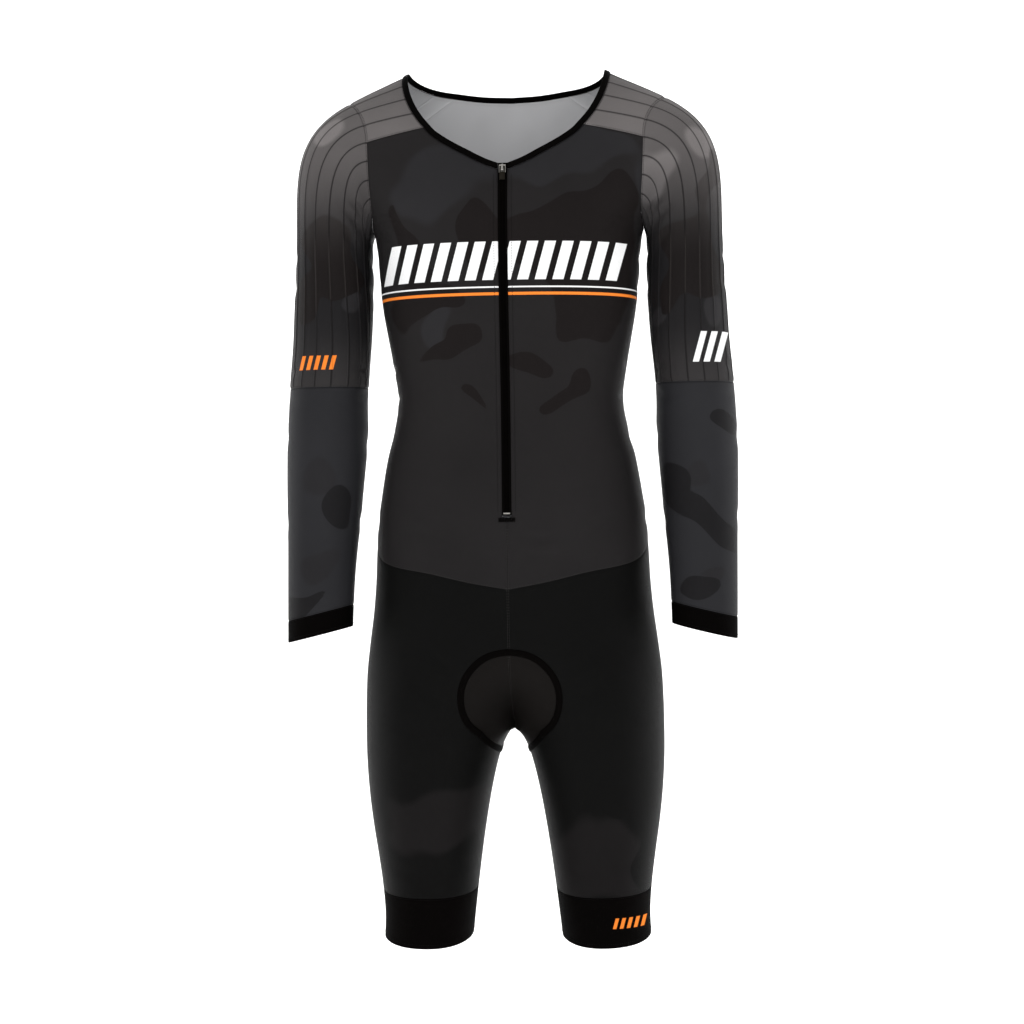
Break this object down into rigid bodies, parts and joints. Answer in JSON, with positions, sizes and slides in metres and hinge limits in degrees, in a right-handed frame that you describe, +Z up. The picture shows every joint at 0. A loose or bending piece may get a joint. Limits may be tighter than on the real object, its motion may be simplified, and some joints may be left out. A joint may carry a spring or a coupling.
{
  "type": "cycling skinsuit",
  "caption": "Long-sleeved, short-legged cycling skinsuit with a front zip, ribbed shoulders and upper sleeves, elastic cuffs and wide leg grippers, hollow and in its worn form.",
  "frame": {"origin": "between the shoulders, level with the tops of the armholes: on the middle plane, in the plane of the side seams", "axes": "+Z up, the front faces -Y, and the wearer's left is at +X"},
  "size_m": [0.5074, 0.2362, 0.9768],
  "materials": {
    "print": "dark printed stretch cloth, low sheen",
    "shorts": "near-black stretch cloth, low sheen",
    "rib": "grey ribbed stretch cloth, matte",
    "forearm": "dark blue-grey stretch cloth, low sheen",
    "black": "black elastic band, matte",
    "zip": "black nylon",
    "metal": "satin"
  },
  "bodies": {
    "garment": {"front_left": "print", "front_right": "print", "back": "print", "yoke_left": "rib", "yoke_right": "rib", "sleeve_left": "rib", "sleeve_right": "rib", "underarm_left": "forearm", "underarm_right": "forearm", "forearm_left": "forearm", "forearm_right": "forearm", "cuff_left": "black", "cuff_right": "black", "gripper_left": "black", "gripper_right": "black", "shorts_left": "shorts", "shorts_right": "shorts", "neck_binding": "black", "pad_seam": "black", "zip_tape_left": "zip", "zip_tape_right": "zip", "zip_coil": "zip", "zip_end_tab": "black", "zip_slider": "metal", "zip_stop": "metal"},
    "pull_tab": {"zip_pull": "metal"}
  },
  "joints": [
    {"name": "pull_tab_hinge", "type": "hinge", "parent": "garment", "child": "pull_tab", "pos_m": [0, -0.10431, -0.08803], "axis": [-1, 0, 0], "range_deg": [0, 165]}
  ]
}
